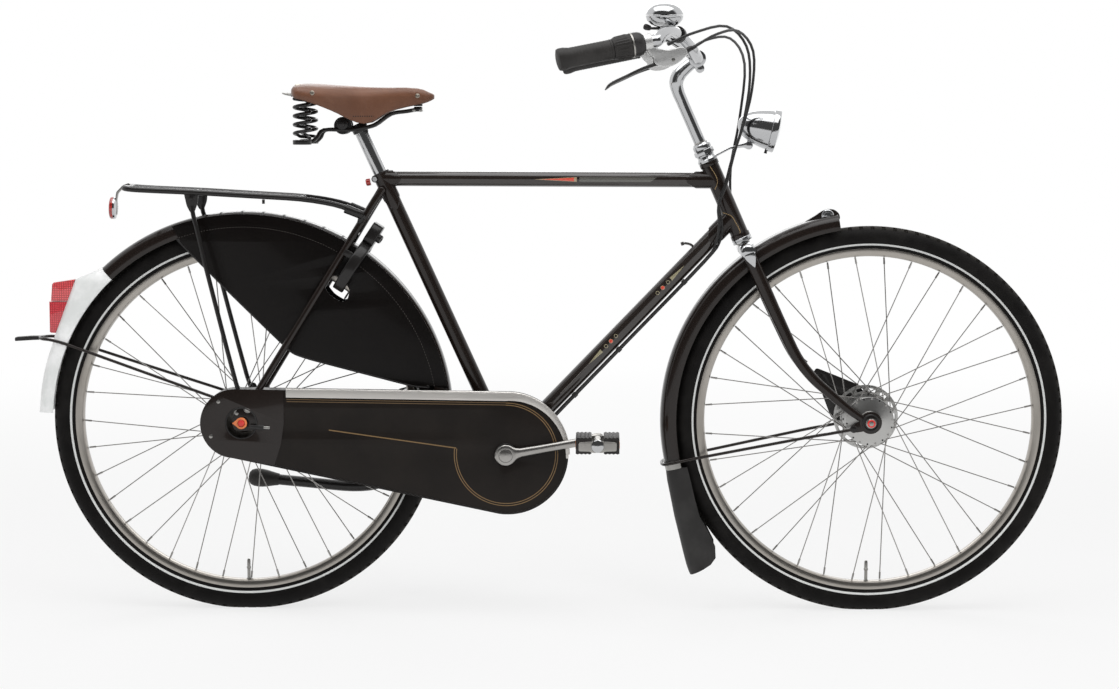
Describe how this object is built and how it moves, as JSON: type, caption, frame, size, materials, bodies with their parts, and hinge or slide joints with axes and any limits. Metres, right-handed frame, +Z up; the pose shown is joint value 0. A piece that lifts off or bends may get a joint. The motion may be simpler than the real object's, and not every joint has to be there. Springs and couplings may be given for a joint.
{
  "type": "dutch city bike",
  "caption": "upright town bicycle with a diamond frame, enclosed chain, hub gear and roller brakes, mudguards, carrier, ring lock, sprung saddle, lamps, bell and a folding side stand",
  "frame": {"origin": "middle of the rear axle, between its two ends", "axes": "+X forward, +Y to the rider's left, +Z up"},
  "size_m": [1.9195, 0.6146, 1.1122],
  "materials": {
    "head_tube": "gloss black lacquer",
    "top_tube": "gloss black lacquer",
    "down_tube": "gloss black lacquer",
    "seat_tube": "gloss black lacquer",
    "bottom_bracket_shell": "gloss black lacquer",
    "right_chain_stay": "gloss black lacquer",
    "left_chain_stay": "gloss black lacquer",
    "right_seat_stay": "gloss black lacquer",
    "left_seat_stay": "gloss black lacquer",
    "seat_post": "polished",
    "rear_axle": "plated steel",
    "rear_mudguard": "gloss black lacquer",
    "rear_mudguard_tail": "white",
    "tail_lamp": "red lens",
    "rear_mudguard_stay": "gloss black lacquer",
    "right_skirt_guard": "lacquered cloth",
    "left_skirt_guard": "lacquered cloth",
    "carrier": "gloss black lacquer",
    "rear_reflector": "red reflector",
    "kickstand_leg": "black, rubber foot",
    "chain_case": "lacquered cloth over a frame",
    "chain": "oiled steel",
    "rear_sprocket": "plain steel",
    "saddle_frame": "black",
    "saddle_spring_right": "black",
    "saddle_spring_left": "black",
    "saddle_leather": "brown saddle leather",
    "rear_brake_cable": "black casing",
    "shift_cable": "black casing",
    "lock_housing": "black",
    "lock_shackle": "hardened steel",
    "right_crank": "satin alloy",
    "left_crank": "satin alloy",
    "right_pedal": "rubber blocks",
    "left_pedal": "rubber blocks",
    "rear_tyre": "black with a reflecting stripe",
    "rear_rim": "satin",
    "rear_hub": "satin",
    "fork": "gloss black lacquer, chrome crown",
    "front_axle": "plated steel",
    "front_tyre": "black with a reflecting stripe",
    "front_rim": "satin",
    "front_hub": "satin",
    "front_mudguard": "gloss black lacquer",
    "mudguard_flap": "black",
    "front_mudguard_stay": "gloss black lacquer",
    "upper_headset": "polished",
    "stem": "polished",
    "handlebar": "polished",
    "right_grip": "black",
    "twist_shifter": "ribbed",
    "right_lever_body": "satin alloy",
    "right_brake_lever": "black coated",
    "left_grip": "black",
    "left_lever_body": "satin alloy",
    "left_brake_lever": "black coated",
    "bell": "polished",
    "bell_lever": "black",
    "headlamp": "polished shell, clear lens",
    "front_brake_cable": "black casing"
  },
  "bodies": {
    "frame": {"head_tube": "head_tube", "top_tube": "top_tube", "down_tube": "down_tube", "seat_tube": "seat_tube", "bottom_bracket_shell": "bottom_bracket_shell", "right_chain_stay": "right_chain_stay", "left_chain_stay": "left_chain_stay", "right_seat_stay": "right_seat_stay", "left_seat_stay": "left_seat_stay", "seat_post": "seat_post", "rear_axle": "rear_axle", "rear_mudguard": "rear_mudguard", "rear_mudguard_tail": "rear_mudguard_tail", "tail_lamp": "tail_lamp", "rear_mudguard_stay": "rear_mudguard_stay", "right_skirt_guard": "right_skirt_guard", "left_skirt_guard": "left_skirt_guard", "carrier": "carrier", "rear_reflector": "rear_reflector", "chain_case": "chain_case", "chain": "chain", "saddle_frame": "saddle_frame", "saddle_spring_right": "saddle_spring_right", "saddle_spring_left": "saddle_spring_left", "rear_brake_cable": "rear_brake_cable", "shift_cable": "shift_cable", "lock_housing": "lock_housing"},
    "steering": {"fork": "fork", "front_axle": "front_axle", "front_mudguard": "front_mudguard", "mudguard_flap": "mudguard_flap", "front_mudguard_stay": "front_mudguard_stay", "upper_headset": "upper_headset", "stem": "stem", "handlebar": "handlebar", "right_grip": "right_grip", "right_lever_body": "right_lever_body", "left_grip": "left_grip", "left_lever_body": "left_lever_body", "bell": "bell", "front_brake_cable": "front_brake_cable"},
    "front_wheel": {"front_tyre": "front_tyre", "front_rim": "front_rim", "front_hub": "front_hub"},
    "rear_wheel": {"rear_tyre": "rear_tyre", "rear_rim": "rear_rim", "rear_hub": "rear_hub"},
    "cranks": {"right_crank": "right_crank", "left_crank": "left_crank"},
    "sprocket": {"rear_sprocket": "rear_sprocket"},
    "pedal_right": {"right_pedal": "right_pedal"},
    "pedal_left": {"left_pedal": "left_pedal"},
    "brake_lever_right": {"right_brake_lever": "right_brake_lever"},
    "brake_lever_left": {"left_brake_lever": "left_brake_lever"},
    "shifter": {"twist_shifter": "twist_shifter"},
    "bell_thumb": {"bell_lever": "bell_lever"},
    "lamp": {"headlamp": "headlamp"},
    "stand": {"kickstand_leg": "kickstand_leg"},
    "shackle": {"lock_shackle": "lock_shackle"},
    "saddle_top": {"saddle_leather": "saddle_leather"}
  },
  "joints": [
    {"name": "steering_turn", "type": "hinge", "parent": "frame", "child": "steering", "pos_m": [0.91728, 0, 0.32827], "axis": [-0.4028, 0, 0.9153], "range_deg": [-60, 60], "deforming": ["rear_brake_cable", "shift_cable"]},
    {"name": "front_wheel_spin", "type": "hinge", "parent": "steering", "child": "front_wheel", "pos_m": [1.15, 0, 0], "axis": [0, 1, 0], "continuous": true},
    {"name": "rear_wheel_spin", "type": "hinge", "parent": "frame", "child": "rear_wheel", "pos_m": [0, 0, 0], "axis": [0, 1, 0], "continuous": true},
    {"name": "crank_spin", "type": "hinge", "parent": "frame", "child": "cranks", "pos_m": [0.4835, 0, -0.0565], "axis": [0, 1, 0], "continuous": true},
    {"name": "sprocket_spin", "type": "hinge", "parent": "frame", "child": "sprocket", "pos_m": [0, 0, 0], "axis": [0, 1, 0], "continuous": true},
    {"name": "right_pedal_spin", "type": "hinge", "parent": "cranks", "child": "pedal_right", "pos_m": [0.65081, -0.09, -0.0264], "axis": [0, 1, 0], "continuous": true},
    {"name": "left_pedal_spin", "type": "hinge", "parent": "cranks", "child": "pedal_left", "pos_m": [0.31619, 0.09, -0.0866], "axis": [0, 1, 0], "continuous": true},
    {"name": "right_brake_pull", "type": "hinge", "parent": "steering", "child": "brake_lever_right", "pos_m": [0.77874, -0.25107, 0.65591], "axis": [-0.197, 0.9766, -0.0867], "range_deg": [0, 14], "stiffness_Nm_per_rad": 2},
    {"name": "left_brake_pull", "type": "hinge", "parent": "steering", "child": "brake_lever_left", "pos_m": [0.77874, 0.25107, 0.65591], "axis": [0.197, 0.9766, 0.0867], "range_deg": [0, 14], "stiffness_Nm_per_rad": 2},
    {"name": "gear_twist", "type": "hinge", "parent": "steering", "child": "shifter", "pos_m": [0.68934, -0.26721, 0.67723], "axis": [0.9586, 0.2104, 0.1919], "range_deg": [-60, 60]},
    {"name": "bell_ring", "type": "hinge", "parent": "steering", "child": "bell_thumb", "pos_m": [0.76766, -0.15904, 0.71326], "axis": [0, 0, 1], "range_deg": [0, 25], "stiffness_Nm_per_rad": 0.1},
    {"name": "lamp_tilt", "type": "hinge", "parent": "steering", "child": "lamp", "pos_m": [0.92668, 0, 0.50481], "axis": [0, 1, 0], "range_deg": [-12, 12]},
    {"name": "stand_fold", "type": "hinge", "parent": "frame", "child": "stand", "pos_m": [0.262, 0.052, -0.106], "axis": [0, -1, 0], "range_deg": [0, 78]},
    {"name": "lock_slide", "type": "hinge", "parent": "frame", "child": "shackle", "pos_m": [0.19763, 0, 0.27912], "axis": [0.8425, 0, -0.5388], "range_deg": [0, 95]},
    {"name": "saddle_flex", "type": "hinge", "parent": "frame", "child": "saddle_top", "pos_m": [0.314, 0, 0.576], "axis": [0, -1, 0], "range_deg": [0, 3], "stiffness_Nm_per_rad": 700, "deforming": ["saddle_spring_right", "saddle_spring_left"]}
  ],
  "couplings": [
    {"joint": "sprocket_spin", "follows": "crank_spin", "ratio": 2.3333}
  ]
}
